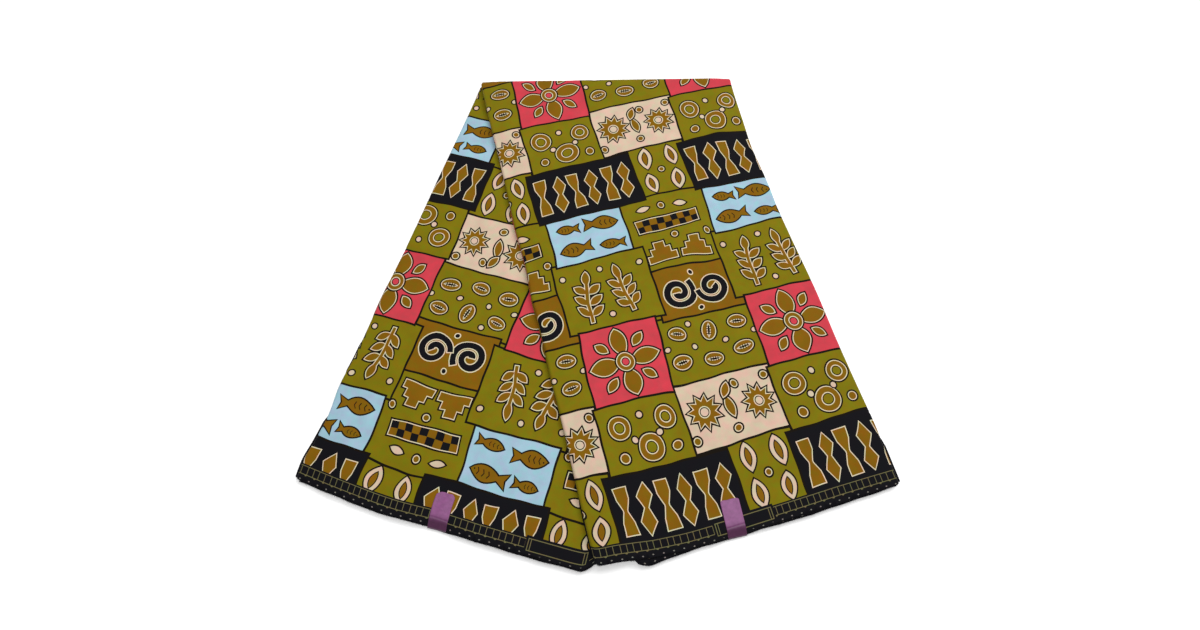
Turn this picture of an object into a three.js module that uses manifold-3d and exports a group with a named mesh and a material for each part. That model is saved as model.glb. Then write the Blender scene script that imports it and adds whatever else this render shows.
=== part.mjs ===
// A length of kitenge cotton, folded in half across its width and book-folded along its length into panels,
// then laid flat and fanned into two lobes that share one straight fold at the back.
// Millimetres, +Z up, the hem towards -Y. The origin is under the middle, on the surface the cloth lies on.
import * as THREE from "three";
import { mergeVertices } from "three/addons/utils/BufferGeometryUtils.js";
import Module from "manifold-3d";

const { clamp, degToRad, lerp, smoothstep } = THREE.MathUtils;

// Cloth
const panelWidth = 300; // between the two book folds of a panel
const clothWall = 1.2; // the doubled cloth on top of a lobe, with the air in it
const gap = 0.3; // between pieces at a seam or an edge
const layerGap = 0.4; // between layers that lie on each other, which the slopes narrow a little
const foldDrop = 2.9; // how far a book fold rolls down from the top of its lobe

// Heights of the stacks
const leftTop = 7; // top of the left lobe
const stackHeight = 7.2; // top of the right lobe, where it lies on the surface
const overTop = leftTop + gap + stackHeight; // top of the right lobe, over the left one
const slope = { from: 8, to: 46 }; // past the left lobe's hidden fold, where the right lobe comes down
const layersDown = foldDrop + layerGap; // top of the hidden layers, below the top of their lobe
const tuck = 9; // how far the left lobe's cloth goes under the right lobe, at the top fold

// Top fold: the back of it, at the middle, and its turn
const topFoldY = 287.4;
const topFoldTurn = 1.1;
const topFoldRadius = overTop / 2;

// The lobes. The notch is the hem corner where they part, and the folds run up from the two hem corners.
// Turns are in degrees: the hem's from +X, and the folds' from +Y.
const rightLobe = { side: 1, notch: [-1.7, -282.6], hemTurn: 15.4, innerTurn: 14.04, outerTurn: 14.9 };
const leftLobe = { side: -1, notch: [-0.7, -289.6], hemTurn: -17, innerTurn: -14.5, outerTurn: -16.74 };

// How far each outer fold is drawn in, from the top fold (0) to the hem (1)
const foldDrawnIn = [
  { at: 0, left: 0, right: 0 },
  { at: 0.04, left: 1.5, right: 1.4 },
  { at: 0.12, left: 3.4, right: 4.1 },
  { at: 0.2, left: 2.9, right: 5.8 },
  { at: 0.3, left: 2.4, right: 5.1 },
  { at: 0.45, left: 3.2, right: 3.2 },
  { at: 0.6, left: 1.6, right: 1.8 },
  { at: 0.75, left: 2.4, right: 1.2 },
  { at: 0.87, left: 1, right: 1.5 },
  { at: 0.94, left: 2.5, right: 0.4 },
  { at: 1, left: 0, right: 0 },
];

// How far each hem bows out, from the notch (0) to the outer corner (1), and its second layer past it.
// The right label holds its layers together, so the second layer is drawn in there.
const hemBow = [
  { at: 0, left: 0, leftSecond: 0.5, right: 0, rightSecond: -1.5 },
  { at: 0.13, left: 1, leftSecond: 0.8, right: 2.5, rightSecond: 1.5 },
  { at: 0.32, left: 3, leftSecond: 1, right: 5.6, rightSecond: 4.2 },
  { at: 0.4, left: 2.9, leftSecond: 0.9, right: 5.8, rightSecond: 5 },
  { at: 0.425, left: 2.8, leftSecond: 0.8, right: 5.7, rightSecond: 1.2 },
  { at: 0.485, left: 2.8, leftSecond: 0.8, right: 5.6, rightSecond: 1.2 },
  { at: 0.51, left: 3, leftSecond: 0.8, right: 5.5, rightSecond: 3.4 },
  { at: 0.67, left: 6, leftSecond: 0.6, right: 5, rightSecond: 4.4 },
  { at: 0.84, left: 4.3, leftSecond: 0.9, right: 3, rightSecond: 4.8 },
  { at: 1, left: 0, leftSecond: 0.5, right: 0, rightSecond: 3 },
];

// Labels: where each lies across its hem, from the notch (0) to the outer corner (1), and its lean
const labelWidth = 18.5;
const labelLength = 36; // on top of the cloth, from the hem
const labelWall = 0.8;
const labelDrop = 3; // how far it turns down over the hem
const hemSlant = 0.12; // a hem's slope across its label, at the most
const labels = {
  right: { across: 0.455, lean: 10.5 },
  left: { across: 0.52, lean: -13.2 },
};

// The value of a table's column at a place between two of its rows
function between(table, place, column) {
  const next = Math.max(1, table.findIndex((row) => row.at >= Math.min(place, 1)));
  const [low, high] = [table[next - 1], table[next]];
  return lerp(low[column], high[column], (place - low.at) / (high.at - low.at));
}

const heading = (turn) => new THREE.Vector2(Math.cos(degToRad(turn)), Math.sin(degToRad(turn)));

// Where a fold that leaves the hem at a corner, with that turn, meets the back of the top fold
function onTopFold(corner, turn) {
  const up = heading(90 + turn);
  const rise = Math.tan(degToRad(topFoldTurn));
  const run = (topFoldY + rise * corner.x - corner.y) / (up.y - rise * up.x);
  return corner.clone().addScaledVector(up, run);
}

// A lobe's outline as two folds, each a function from the top fold (0) to the hem (1)
function foldsOf(lobe, column) {
  const notch = new THREE.Vector2(...lobe.notch);
  const corner = notch.clone().addScaledVector(heading(lobe.hemTurn), lobe.side * panelWidth);
  const innerTop = onTopFold(notch, lobe.innerTurn);
  const outerTop = onTopFold(corner, lobe.outerTurn);
  const inwards = heading(lobe.outerTurn).multiplyScalar(-lobe.side);
  const drawnIn = (along) => between(foldDrawnIn, along, column);
  return {
    inner: (along) => innerTop.clone().lerp(notch, along),
    outer: (along) => outerTop.clone().lerp(corner, along).addScaledVector(inwards, drawnIn(along)),
  };
}

const rightFolds = foldsOf(rightLobe, "right");
const leftFolds = foldsOf(leftLobe, "left");
const leftHiddenFold = { foot: leftFolds.inner(1), across: heading(leftLobe.innerTurn) };

// Height of the right lobe's top: high over the left lobe, and lower past that lobe's hidden fold
function rightHeight(point) {
  const past = point.clone().sub(leftHiddenFold.foot).dot(leftHiddenFold.across);
  return lerp(overTop, stackHeight, smoothstep(past, slope.from, slope.to));
}

// A stretch of cloth in plan: its two sides, its hem's bow and its height
const rightStretch = {
  ...rightFolds,
  bow: (across) => between(hemBow, across, "right"),
  down: heading(-90 + rightLobe.hemTurn),
  height: rightHeight,
};

const tuckedUnder = rightFolds.inner(0).addScaledVector(heading(rightLobe.innerTurn), tuck);
const leftStretch = {
  inner: (along) => tuckedUnder.clone().lerp(leftFolds.inner(1), along),
  outer: leftFolds.outer,
  bow: (across) => between(hemBow, across, "left"),
  down: heading(-90 + leftLobe.hemTurn),
  height: () => leftTop,
  level: true,
};
const wholeLeft = { ...leftStretch, inner: leftFolds.inner };

// A second layer, whose hem reaches past the cloth above it
const reachingPast = (stretch, column) => ({
  ...stretch,
  bow: (across) => stretch.bow(across) + between(hemBow, across, column),
});

// A stretch's plan point: across from its inner side (0) to its outer (1), and along from the top fold (0)
// to the hem (1)
function planPoint(stretch, across, along) {
  const point = stretch.inner(along).lerp(stretch.outer(along), across);
  return point.addScaledVector(stretch.down, stretch.bow(across) * smoothstep(along, 0.7, 1));
}

const cornerIn = 2.4; // layers under a panel are this much narrower at the top fold
const cornerRun = { whole: 12, gone: 22 }; // down to the first of these, and not past the second

// A point of one ring of a solid: u runs across and v along the rectangle that the ring's insets leave
function ringPoint(stretch, ring, u, v) {
  const innerLength = stretch.inner(0).distanceTo(stretch.inner(1));
  const outerLength = stretch.outer(0).distanceTo(stretch.outer(1));
  const length = lerp(innerLength, outerLength, u);
  const along = clamp(v, ring.topIn / length, 1 - ring.hemIn / length);
  const width = stretch.inner(along).distanceTo(stretch.outer(along));
  const narrower = ring.underneath ? 1 - smoothstep(along * length, cornerRun.whole, cornerRun.gone) : 0;
  const from = (ring.innerIn + cornerIn * narrower) / width;
  const to = 1 - (ring.outerIn + cornerIn * narrower) / width;
  const across = stretch.level ? lerp(from, to, u) : clamp(u, from, to);
  const point = planPoint(stretch, across, along);
  const side = v === 0 ? ring.topDown : v === 1 ? ring.hemDown : u < 0.5 ? ring.innerDown : ring.outerDown;
  const top = stretch.height(point);
  const z = ring.share === undefined ? top - side : (top - layersDown) * (1 - ring.share);
  return [point.x, point.y, Math.max(z, 0)];
}

// A closed solid: a grid over its first ring, strips from ring to ring, and a grid under its last
function ringSolid(stretch, rings, columns, rows) {
  const positions = [];
  const faces = [];
  const addGrid = (ring, flipped) => {
    const start = positions.length / 3;
    rows.forEach((v) => columns.forEach((u) => positions.push(...ringPoint(stretch, ring, u, v))));
    for (let r = 0; r + 1 < rows.length; r++)
      for (let c = 0; c + 1 < columns.length; c++) {
        const a = start + r * columns.length + c;
        const b = a + columns.length;
        faces.push(...(flipped ? [a, a + 1, b, a + 1, b + 1, b] : [a, b, a + 1, a + 1, b, b + 1]));
      }
  };
  const rim = [
    ...rows.slice(0, -1).map((v) => [0, v]),
    ...columns.slice(0, -1).map((u) => [u, 1]),
    ...rows.toReversed().slice(0, -1).map((v) => [1, v]),
    ...columns.toReversed().slice(0, -1).map((u) => [u, 0]),
  ];
  const strips = rings.map((ring) => {
    const start = positions.length / 3;
    rim.forEach(([u, v]) => positions.push(...ringPoint(stretch, ring, u, v)));
    return start;
  });
  addGrid(rings[0], false);
  addGrid(rings.at(-1), true);
  for (let k = 0; k + 1 < strips.length; k++)
    rim.forEach((_, i) => {
      const j = (i + 1) % rim.length;
      faces.push(strips[k] + i, strips[k + 1] + i, strips[k] + j);
      faces.push(strips[k] + j, strips[k + 1] + i, strips[k + 1] + j);
    });
  const geometry = new THREE.BufferGeometry();
  geometry.setAttribute("position", new THREE.Float32BufferAttribute(positions, 3));
  geometry.setIndex(faces);
  const merged = mergeVertices(geometry, 1e-3);
  return isLeft(stretch) ? flippedOver(merged) : merged;
}

// The left lobe runs the other way across, so its faces are turned round
const isLeft = (stretch) => stretch.outer === leftFolds.outer;
function flippedOver(geometry) {
  const index = geometry.index.array;
  for (let i = 0; i < index.length; i += 3) [index[i], index[i + 1]] = [index[i + 1], index[i]];
  return geometry;
}

// Rows and columns, closer together near the folds
const evenly = (count, from, to) => Array.from({ length: count }, (_, i) => lerp(from, to, i / (count - 1)));
const rightColumns = [0, ...evenly(6, 0.06, 0.4), 0.425, 0.485, ...evenly(8, 0.51, 0.95), 1];
const rightRows = [0, 0.025, ...evenly(16, 0.06, 0.97), 1];
const leftColumns = evenly(8, 0, 1);
const leftRows = [0, 0.06, ...evenly(11, 0.1, 0.95), 1];

// A point on a roll of that radius, inset by the wall there, after a turn in degrees from its top
function onRoll(radius, wall, turn) {
  const reach = radius - wall;
  return { inwards: radius - reach * heading(turn).y, down: radius - reach * heading(turn).x };
}

// One ring of a cloth wall, with a point of each of its sides
function wallRing(inner, outer, top, hem) {
  return {
    innerIn: inner.inwards,
    innerDown: inner.down,
    outerIn: outer.inwards,
    outerDown: outer.down,
    topIn: top.inwards,
    topDown: top.down,
    hemIn: hem.inwards,
    hemDown: hem.down,
  };
}

// The rings of a cloth wall go out over its folds and back up inside them. These are the turns of the
// round top fold and of the book folds' rolls. An open edge is half a turn over all the rings.
const foldTurns = [
  { top: 0, side: 0 },
  { top: 35, side: 25 },
  { top: 70, side: 50 },
  { top: 105, side: 70 },
  { top: 135, side: 90 },
];
const wallTurns = [
  ...foldTurns.map((turn) => ({ ...turn, wall: 0 })),
  ...foldTurns.toReversed().map((turn) => ({ ...turn, wall: clothWall })),
].map((turn, ring, all) => ({ ...turn, open: (180 * ring) / (all.length - 1) }));
const openEdge = ({ open }) => onRoll(clothWall / 2, 0, open);
const bookFold = ({ side, wall }) => onRoll(foldDrop, wall, side);

// The right lobe's cloth: rolled down at both book folds and round the top fold, and open at the hem
function rightPanelRings() {
  return wallTurns.map((turn) =>
    wallRing(bookFold(turn), bookFold(turn), onRoll(topFoldRadius, turn.wall, turn.top), openEdge(turn)),
  );
}

// The left lobe's cloth: rolled down at its outer fold only, and flat where it goes under the right lobe
const leftTopIn = 14; // it ends here, inside the right lobe's round
function leftPanelRings() {
  return wallTurns.map((turn) => {
    const edge = openEdge(turn);
    return wallRing(edge, bookFold(turn), { ...edge, inwards: leftTopIn + edge.inwards }, edge);
  });
}

// A second layer: a level wall below the cloth on top
function secondRings(sides) {
  const top = clothWall + layerGap;
  return [top, top + clothWall].map((down) => ({
    innerDown: down,
    outerDown: down,
    topDown: down,
    hemDown: down,
    hemIn: 0,
    underneath: true,
    ...sides,
  }));
}

const layerIn = foldDrop + 0.6; // they end this far inside the rolls above them

// The hidden layers of a stack: one row for each edge of a layer, as a share of the way down to the surface.
// The right stack's inner side stands on the left lobe, and leaves a slot below it for that lobe's cloth.
const slot = (overTop - leftTop - gap - layersDown) / (overTop - layersDown);
const rightLayers = [
  { share: 0, outer: layerIn, inner: layerIn, hem: 3 },
  { share: 0.02, outer: 1.2, inner: 1.2, hem: 1.5 },
  { share: 0.14, outer: 0.4, inner: 0.4, hem: 0.5 },
  { share: 0.26, outer: 1.3, inner: 1.3, hem: 2 },
  { share: slot, outer: 0.4, inner: 0.6, hem: 0 },
  { share: slot, outer: 0.4, inner: tuck + 1, hem: 0 },
  { share: 0.62, outer: 1.6, inner: tuck + 1, hem: 2.6 },
  { share: 0.8, outer: 0.5, inner: tuck + 1, hem: 0.8 },
  { share: 1, outer: 2, inner: tuck + 1, hem: 2 },
];
const leftLayers = [
  { share: 0, outer: layerIn, inner: 2, hem: 3 },
  { share: 0.02, outer: 1, inner: 1, hem: 1.5 },
  { share: 0.3, outer: 0.4, inner: 0.5, hem: 0.5 },
  { share: 0.55, outer: 1.5, inner: 1.5, hem: 2 },
  { share: 0.8, outer: 0.5, inner: 0.5, hem: 0.6 },
  { share: 1, outer: 2, inner: 2, hem: 2 },
];

// How far a layer at that height stops short of the back of the top fold, to lie inside its round
function insideRound(z) {
  const reach = topFoldRadius - clothWall - 2 * gap;
  return topFoldRadius - Math.sqrt(Math.max(reach ** 2 - (z - topFoldRadius) ** 2, 0));
}

function layerRings(layers, top) {
  return layers.map((layer) => ({
    underneath: true,
    innerIn: layer.inner,
    outerIn: layer.outer,
    topIn: insideRound((top - layersDown) * (1 - layer.share)),
    hemIn: layer.hem,
    share: layer.share,
  }));
}

const wasm = await Module();
wasm.setup();

function solidFrom(geometry) {
  const merged = mergeVertices(geometry, 1e-3);
  return new wasm.Manifold(
    new wasm.Mesh({
      numProp: 3,
      vertProperties: merged.attributes.position.array,
      triVerts: new Uint32Array(merged.index.array),
    }),
  );
}

function geometryFrom(solid) {
  const mesh = solid.getMesh();
  const geometry = new THREE.BufferGeometry();
  geometry.setAttribute("position", new THREE.BufferAttribute(mesh.vertProperties, 3));
  return geometry.setIndex(new THREE.BufferAttribute(mesh.triVerts, 1));
}

// Both stacks of hidden layers, joined into one body
function hiddenLayers() {
  const right = ringSolid(rightStretch, layerRings(rightLayers, overTop), rightColumns, rightRows);
  const left = ringSolid(wholeLeft, layerRings(leftLayers, leftTop), leftColumns, leftRows);
  return geometryFrom(solidFrom(right).add(solidFrom(left)));
}

// A label: a strip that lies on the cloth and turns down over the hem
function labelOn(stretch, label, secondColumn) {
  const half = labelWidth / 2;
  const hem = planPoint(stretch, label.across, 1);
  const pastHem = between(hemBow, label.across, secondColumn) + gap + half * hemSlant;
  const profile = new THREE.Shape();
  profile.moveTo(-labelLength, 0);
  profile.lineTo(pastHem, 0);
  profile.lineTo(pastHem, -labelDrop);
  profile.lineTo(pastHem + labelWall, -labelDrop);
  profile.lineTo(pastHem + labelWall, 0);
  profile.absarc(pastHem, 0, labelWall, 0, Math.PI / 2, false);
  profile.lineTo(-labelLength, labelWall);
  const strip = { depth: labelWidth, bevelEnabled: false, curveSegments: 3 };
  const geometry = new THREE.ExtrudeGeometry(profile, strip);
  geometry.translate(0, 0, -half).rotateX(Math.PI / 2).rotateZ(degToRad(label.lean - 90));
  geometry.deleteAttribute("normal").deleteAttribute("uv");
  return geometry.translate(hem.x, hem.y, stretch.height(hem) + gap);
}

function cloth(colour, roughness) {
  return new THREE.MeshStandardMaterial({ color: colour, roughness, metalness: 0 });
}

function named(name, geometry, material) {
  const mesh = new THREE.Mesh(geometry, material);
  mesh.name = name;
  return mesh;
}

const printedOlive = cloth(0x857d08, 0.85);
const printedDark = cloth(0x2a2618, 0.85);
const foldedOlive = cloth(0x6e6410, 0.9);
const purpleSatin = cloth(0x895883, 0.5);

const rightSecond = secondRings({ innerIn: 2.4, outerIn: 2.4, topIn: topFoldRadius + 1 });
const leftSecond = secondRings({ innerIn: 0, outerIn: 2.4, topIn: leftTopIn });

const kitenge = new THREE.Group();
kitenge.add(
  named("hidden_layers", hiddenLayers(), foldedOlive),
  named(
    "left_second_layer",
    ringSolid(reachingPast(leftStretch, "leftSecond"), leftSecond, leftColumns, leftRows),
    printedDark,
  ),
  named("left_panel", ringSolid(leftStretch, leftPanelRings(), leftColumns, leftRows), printedOlive),
  named(
    "right_second_layer",
    ringSolid(reachingPast(rightStretch, "rightSecond"), rightSecond, rightColumns, rightRows),
    printedDark,
  ),
  named("right_panel", ringSolid(rightStretch, rightPanelRings(), rightColumns, rightRows), printedOlive),
  named("left_label", labelOn(leftStretch, labels.left, "leftSecond"), purpleSatin),
  named("right_label", labelOn(rightStretch, labels.right, "rightSecond"), purpleSatin),
);

export default kitenge;
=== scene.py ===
# A length of kitenge cotton, folded into panels, laid flat and fanned into two lobes under one straight fold.
import math
from functools import partial

import bpy
import numpy as np
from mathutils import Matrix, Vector
from mathutils.geometry import delaunay_2d_cdt


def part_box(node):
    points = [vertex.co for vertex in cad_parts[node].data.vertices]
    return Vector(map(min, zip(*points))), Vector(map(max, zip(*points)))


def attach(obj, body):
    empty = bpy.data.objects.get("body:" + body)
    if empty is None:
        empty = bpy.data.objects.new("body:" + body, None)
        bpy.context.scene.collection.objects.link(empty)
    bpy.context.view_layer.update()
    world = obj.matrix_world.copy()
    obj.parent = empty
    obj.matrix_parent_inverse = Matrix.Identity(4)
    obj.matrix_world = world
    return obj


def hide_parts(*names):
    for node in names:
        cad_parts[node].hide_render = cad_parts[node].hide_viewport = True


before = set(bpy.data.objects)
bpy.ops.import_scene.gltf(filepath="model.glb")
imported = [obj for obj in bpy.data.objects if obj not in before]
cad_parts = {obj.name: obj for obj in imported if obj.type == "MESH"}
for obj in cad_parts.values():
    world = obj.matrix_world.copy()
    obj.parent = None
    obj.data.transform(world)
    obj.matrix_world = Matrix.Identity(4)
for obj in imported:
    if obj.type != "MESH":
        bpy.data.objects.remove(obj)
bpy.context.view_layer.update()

mm = 0.001  # everything below is in millimetres until a mesh is made

cloth = {
    "panelWidth": 304,  # between the two book folds
    "thickness": 0.45,  # of a doubled cloth
    "foldRoll": 2.9,  # radius that a book fold is rolled to
    "rollTurn": 104,  # how far round it shows, in degrees
    "ear": 2.3,  # cloth that closes the ends of the top fold
    "gap": 0.3,
    "layersDown": 3.3,  # top of the hidden layers, below the top of their lobe
    "fallFrom": -2,  # the slopes to the folds start that far past them
}
panelWidth = cloth["panelWidth"]
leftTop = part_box("left_panel")[1].z / mm
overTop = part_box("right_panel")[1].z / mm  # where the right lobe lies over the left one
stackHeight = overTop - leftTop - cloth["gap"]
slope = {"from": 8, "to": 46}  # past the left lobe's hidden fold, where the right lobe comes down
topFold = {
    "back": 287.4,
    "turn": 1.1,  # off square, in degrees
    "radius": overTop / 2,
    "wrapTurn": 178,  # how far round it the cloth goes
    "squared": 0.85,  # how much of its skew the cloth loses on the way round
}
leftFold = {"short": 2.5, "radius": leftTop / 2, "wrapTurn": 90}  # the left lobe's back, inside the top fold


def heading(turn):
    return np.array([math.cos(math.radians(turn)), math.sin(math.radians(turn))])


def smooth(value, low, high):
    share = np.clip((np.asarray(value, float) - low) / (high - low), 0, 1)
    return share * share * (3 - 2 * share)


# The value at a place, on a smooth line through rows of (place, value) that never overshoots them
def between(rows, place):
    places, values = np.array(rows, float).T
    steep = np.diff(values) / np.diff(places)
    both = steep[:-1] * steep[1:]
    total = np.where(both > 0, steep[:-1] + steep[1:], 1)
    middle = np.where(both > 0, 2 * both / total, 0)
    slopes = np.concatenate([steep[:1], middle, steep[-1:]])
    i = np.clip(np.searchsorted(places, place) - 1, 0, len(places) - 2)
    step = places[i + 1] - places[i]
    t = np.clip((place - places[i]) / step, 0, 1)
    ends = (1 + 2 * t) * (1 - t) ** 2 * values[i] + t * t * (3 - 2 * t) * values[i + 1]
    return ends + t * (1 - t) * step * ((1 - t) * slopes[i] - t * slopes[i + 1])


def named(columns, rows):
    return [dict(zip(columns, row)) for row in rows]


# Both lobes. The notch is the hem corner where they part, and turns are in degrees, the hem's from +X and the
# folds' from +Y. Each table of pairs runs along an edge, from 0 to 1:
# drawnIn is how far the outer fold is drawn in, from the top fold to the hem
# innerOut is how far the inner fold bulges, from the hem to the top fold
# hemBow is how far the hem bows out and secondPast how far the second layer goes past it, from the inner fold
# innerFall and outerFall are how far the top sinks at a fold, from the hem to the top fold
# A stray is a lower fold that sticks out, from and to that far up from the hem. A crease starts and ends at
# (across from the inner fold, up from the hem).
strayColumns = ("fold", "layer", "from", "to", "out", "dye")
creaseColumns = ("start", "end", "height", "width", "bend")
rightLobe = {
    "side": 1,
    "notch": (-1.7, -282.6),
    "hemTurn": 15.4,
    "innerTurn": 14.04,
    "outerTurn": 14.9,
    "drawnIn": [(0, -0.4), (0.05, 1.6), (0.12, 2.6), (0.2, 5.4), (0.3, 4.6), (0.38, 5.6), (0.45, 4.7),
                (0.6, 2.5), (0.7, 2.9), (0.8, 2.2), (0.88, 1.2), (0.93, 2), (1, 2.6)],
    "innerOut": [(0, 0), (0.1, 0.3), (0.22, -0.4), (0.33, 0.3), (0.42, -0.9), (0.48, 0.6), (0.55, -1.1),
                 (0.63, 0.4), (0.78, -0.2), (0.9, 0.5), (1, 0)],
    "hemBow": [(0, -2), (0.012, 0.4), (0.03, 1.3), (0.06, 2), (0.13, 4.2), (0.22, 7), (0.32, 8.6),
               (0.4, 8.5), (0.51, 7.8), (0.62, 7), (0.84, 5.2), (1, 4.6)],
    "secondPast": [(0, 0.6), (0.06, 0.2), (0.122, 1), (0.13, 4.6), (0.14, 5.6), (0.16, 6.6), (0.2, 4.6),
                   (0.235, 3.2), (0.275, 1.8), (0.32, 1), (0.42, 0.5), (0.51, 0.7), (0.57, 1.5),
                   (0.65, 2.2), (0.75, 1.6), (0.85, 1.6), (0.93, 0.8), (1, -1)],
    "hemPhase": 0,  # of its waves
    "cornerCut": 3,  # how far up the hem's outer corner is rounded
    "innerFall": [(0, 1.2), (0.3, 1.5), (0.6, 1.1), (1, 0.6)],
    "outerFall": [(0, 0.8), (0.4, 1.2), (0.75, 1.4), (1, 0.8)],
    "fallWidth": 26,  # how wide those slopes are
    "label": {"across": 0.449, "lean": 4, "corner": 2.4},
    "strays": named(strayColumns, [
        ("outer", 1, 4, 50, 2.2, "black"),
        ("outer", 2, -8, 46, 3.2, "black"),
        ("outer", 3, 150, 206, 1.3, "gold"),
        ("outer", 2, 330, 372, 1.2, "black"),
        ("outer", 3, 448, 520, 1.2, "olive"),
        ("inner", 3, 10, 58, 1.1, "black"),
        ("inner", 2, 236, 262, 0.9, "gold"),
    ]),
    "creases": named(creaseColumns, [
        ((96, 566), (128, 402), -0.9, 9, 10),
        ((22, 548), (34, 250), 0.55, 8, -5),
        ((286, 402), (196, 352), -0.8, 8, 7),
        ((290, 286), (228, 296), 0.6, 6, -3),
        ((60, 214), (150, 168), -0.5, 12, 8),
        ((176, 470), (262, 486), 0.6, 11, -6),
        ((214, 60), (246, 6), 0.7, 7, 3),
        ((62, 44), (54, 2), -0.7, 6, 2),
        ((130, 330), (176, 232), 0.4, 15, -8),
        ((212, 289), (240, 276), -0.5, 3.2, 1.5),
        ((108, 282), (156, 271), 0.35, 4.2, 0.6),
    ]),
}
leftLobe = {
    "side": -1,
    "notch": (-0.7, -289.6),
    "hemTurn": -17,
    "innerTurn": -14.5,
    "outerTurn": -16.74,
    "drawnIn": [(0, 2.2), (0.05, 3), (0.12, 3.2), (0.2, 2.8), (0.3, 2.4), (0.38, 2.6), (0.45, 2.8),
                (0.52, 2), (0.6, 0.9), (0.66, 1.6), (0.73, 1.8), (0.8, 0), (0.87, 2.8), (0.92, 1.4),
                (0.96, -0.6), (1, 1)],
    "innerOut": [(0, 0), (1, 0)],
    "hemBow": [(0, -14.6), (0.012, -10.4), (0.024, -6), (0.036, -2.2), (0.05, 0.3), (0.08, 1.3),
               (0.13, 1.9), (0.32, 3.6), (0.4, 4), (0.51, 3.8), (0.67, 6), (0.84, 3.8), (1, 0)],
    "hemPhase": 40,
    "cornerCut": 1.4,
    "secondPast": [(0, 0.9), (0.03, 1.7), (0.08, 0.8), (0.32, 1), (0.4, 0.9), (0.485, 0.8), (0.67, 0.6),
                   (0.84, 0.9), (1, 0.5)],
    "innerFall": [(0, 0.6), (1, 0.6)],
    "outerFall": [(0, 2.2), (0.25, 2.6), (0.5, 2), (0.75, 1.1), (1, 0.6)],
    "fallWidth": 52,
    "label": {"across": 0.513, "lean": 2.4, "corner": 4.6},
    "strays": named(strayColumns, [
        ("outer", 1, 4, 62, 1.6, "black"),
        ("outer", 2, 0, 74, 2.6, "black"),
        ("outer", 1, 138, 176, 1.5, "black"),
        ("outer", 3, 214, 262, 1.1, "gold"),
        ("outer", 2, 318, 352, 1.1, "olive"),
        ("outer", 3, 420, 500, 1, "black"),
    ]),
    "creases": named(creaseColumns, [
        ((284, 214), (196, 236), -0.8, 9, -6),
        ((292, 122), (232, 98), 0.7, 8, 5),
        ((270, 420), (236, 300), -0.6, 8, 6),
        ((120, 120), (196, 168), -0.45, 12, -7),
        ((92, 52), (100, 4), 0.6, 7, 2),
        ((236, 46), (222, 2), -0.6, 6, -2),
    ]),
}
backTurn = heading(topFold["turn"] + 90)  # straight out of the back
backPoint = np.array([0, topFold["back"]])
backRun = heading(topFold["turn"])


def pastBack(point):
    return (point - backPoint) @ backTurn


def laidOut(lobe):
    foot = np.array(lobe["notch"], float)
    lobe["foot"] = foot
    lobe["corner"] = foot + lobe["side"] * panelWidth * heading(lobe["hemTurn"])
    lobe["innerUp"] = heading(90 + lobe["innerTurn"])
    lobe["outerUp"] = heading(90 + lobe["outerTurn"])
    lobe["inwards"] = -lobe["side"] * heading(lobe["outerTurn"])
    lobe["down"] = heading(lobe["hemTurn"] - 90)
    lobe["innerLength"] = -pastBack(foot) / (lobe["innerUp"] @ backTurn)
    lobe["outerLength"] = -pastBack(lobe["corner"]) / (lobe["outerUp"] @ backTurn)


laidOut(rightLobe)
laidOut(leftLobe)
rightLobe["wrap"] = dict(topFold, short=0)
leftLobe["wrap"] = leftFold


# Where a point of the cloth lies in plan: across from the inner fold, and up from the hem
def planOf(lobe, across, fromHem, second=False):
    share = across / panelWidth
    length = lobe["innerLength"] + (lobe["outerLength"] - lobe["innerLength"]) * share
    bulge = between(lobe["innerOut"], fromHem / lobe["innerLength"])
    inner = lobe["foot"] + np.outer(fromHem, lobe["innerUp"])
    inner -= np.outer(bulge, lobe["side"] * heading(lobe["innerTurn"]))
    outer = lobe["corner"] + np.outer(fromHem, lobe["outerUp"])
    outer += np.outer(between(lobe["drawnIn"], 1 - fromHem / lobe["outerLength"]), lobe["inwards"])
    bow = between(lobe["hemBow"], share) + (between(lobe["secondPast"], share) if second else 0)
    bow = bow * smooth(1 - fromHem / length, 0.7, 1)  # it dies out up from the hem
    return inner + (outer - inner) * share[:, None] + np.outer(bow, lobe["down"])


def fromHemAt(lobe, across, past):  # how far up from the hem the cloth is that far past the back line
    fromHem = np.full(len(across), lobe["innerLength"])
    for _ in range(5):
        fromHem = fromHem - pastBack(planOf(lobe, across, fromHem)) + past
    return fromHem


def onCloth(lobe, point):  # the inverse of planOf, for one point
    basis = np.array([lobe["side"] * heading(lobe["hemTurn"]), lobe["innerUp"]]).T
    place = np.linalg.solve(basis, point - lobe["foot"])
    for _ in range(6):
        miss = point - planOf(lobe, place[:1], place[1:])[0]
        place = place + np.linalg.solve(basis, miss)
    return place


def pastLeftFold(point):  # how far to the right of the left lobe's inner fold
    return (point - leftLobe["foot"]) @ heading(leftLobe["innerTurn"])


def topOf(lobe, point):  # height of a lobe's top, before its creases
    if lobe is leftLobe:
        return np.full(len(point), leftTop)
    return overTop + (stackHeight - overTop) * smooth(pastLeftFold(point), slope["from"], slope["to"])


def creaseHeight(crease, across, fromHem):
    start, end = np.array(crease["start"], float), np.array(crease["end"], float)
    run = end - start
    length = np.linalg.norm(run)
    run /= length
    offset = np.stack([across, fromHem], 1) - start
    along = offset @ run / length
    aside = offset @ np.array([-run[1], run[0]]) - crease["bend"] * 4 * along * (1 - along)
    ends = smooth(along, -0.15, 0.3) * smooth(1 - along, -0.15, 0.3)
    return crease["height"] * ends * np.exp(-((aside / crease["width"]) ** 2))


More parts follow.
